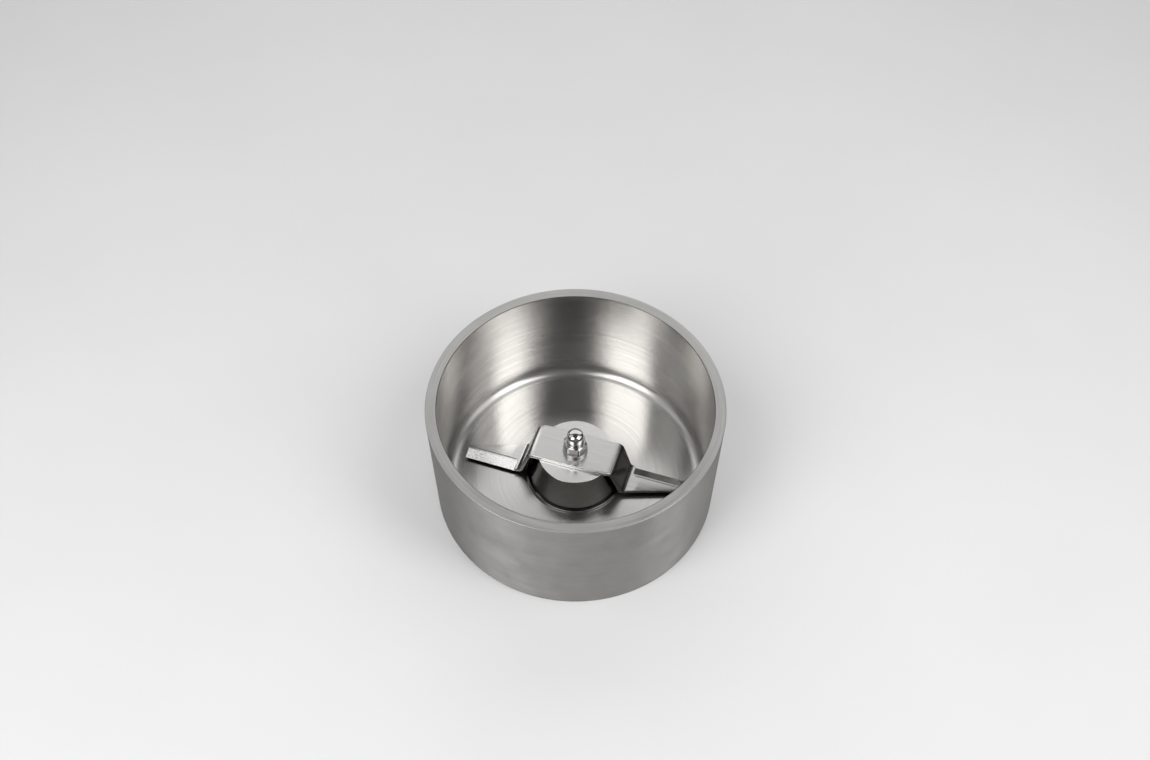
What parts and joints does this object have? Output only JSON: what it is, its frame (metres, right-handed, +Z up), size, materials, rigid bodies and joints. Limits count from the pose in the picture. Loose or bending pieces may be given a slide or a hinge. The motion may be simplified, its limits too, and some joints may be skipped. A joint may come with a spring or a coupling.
{
  "type": "laboratory mill grinding bowl",
  "caption": "Stainless grinding bowl of a laboratory mill: a deep open cup with a bent, bevelled knife turning on a covered hub, driven from below by a square socket.",
  "frame": {"origin": "centre of the bowl's base, on the surface that it stands on", "axes": "+Z up along the spindle, +X to the right and -Y towards the viewer of the picture; the knife's right end lies 17.6 degrees clockwise from +X at rest"},
  "size_m": [0.136, 0.136, 0.064],
  "materials": {
    "bowl_steel": "satin turned outside, circular brushed inside",
    "hub_steel": "fine turned, nearly bright",
    "knife_steel": "lengthwise brushed with ground cutting bevels",
    "turned_steel": "turned",
    "bearing_steel": "ground",
    "ball_steel": "lapped bright",
    "bright_steel": "bright",
    "spring_steel": "oiled dark",
    "nut_polish": "polished",
    "cage_brass": "pressed",
    "black_rubber": "moulded, slightly shiny"
  },
  "bodies": {
    "root": {"bowl": "bowl_steel", "bearing_housing": "turned_steel", "housing_o_ring": "black_rubber", "retaining_plate": "turned_steel", "plate_screws": "bright_steel", "lower_bearing_outer_ring": "bearing_steel", "lower_bearing_shields": "bright_steel", "upper_bearing_outer_ring": "bearing_steel", "upper_bearing_shields": "bright_steel", "outer_spacer": "turned_steel", "bearing_circlip": "spring_steel", "shaft_seal": "black_rubber", "seal_spring": "bright_steel"},
    "rotor": {"spindle": "turned_steel", "lower_bearing_inner_ring": "bearing_steel", "inner_spacer": "turned_steel", "upper_bearing_inner_ring": "bearing_steel", "seal_sleeve": "bearing_steel", "knife_hub": "hub_steel", "knife": "knife_steel", "washer": "bright_steel", "dome_nut": "nut_polish"},
    "lower_balls": {"lower_bearing_balls": "ball_steel", "lower_bearing_cage": "cage_brass"},
    "upper_balls": {"upper_bearing_balls": "ball_steel", "upper_bearing_cage": "cage_brass"}
  },
  "joints": [
    {"name": "rotor_spin", "type": "hinge", "parent": "root", "child": "rotor", "pos_m": [0, 0, 0.012], "axis": [0, 0, 1], "continuous": true},
    {"name": "lower_cage_spin", "type": "hinge", "parent": "root", "child": "lower_balls", "pos_m": [0, 0, 0.005], "axis": [0, 0, 1], "continuous": true},
    {"name": "upper_cage_spin", "type": "hinge", "parent": "root", "child": "upper_balls", "pos_m": [0, 0, 0.012], "axis": [0, 0, 1], "continuous": true}
  ],
  "couplings": [
    {"joint": "lower_cage_spin", "follows": "rotor_spin", "ratio": 0.40078},
    {"joint": "upper_cage_spin", "follows": "rotor_spin", "ratio": 0.40078}
  ]
}
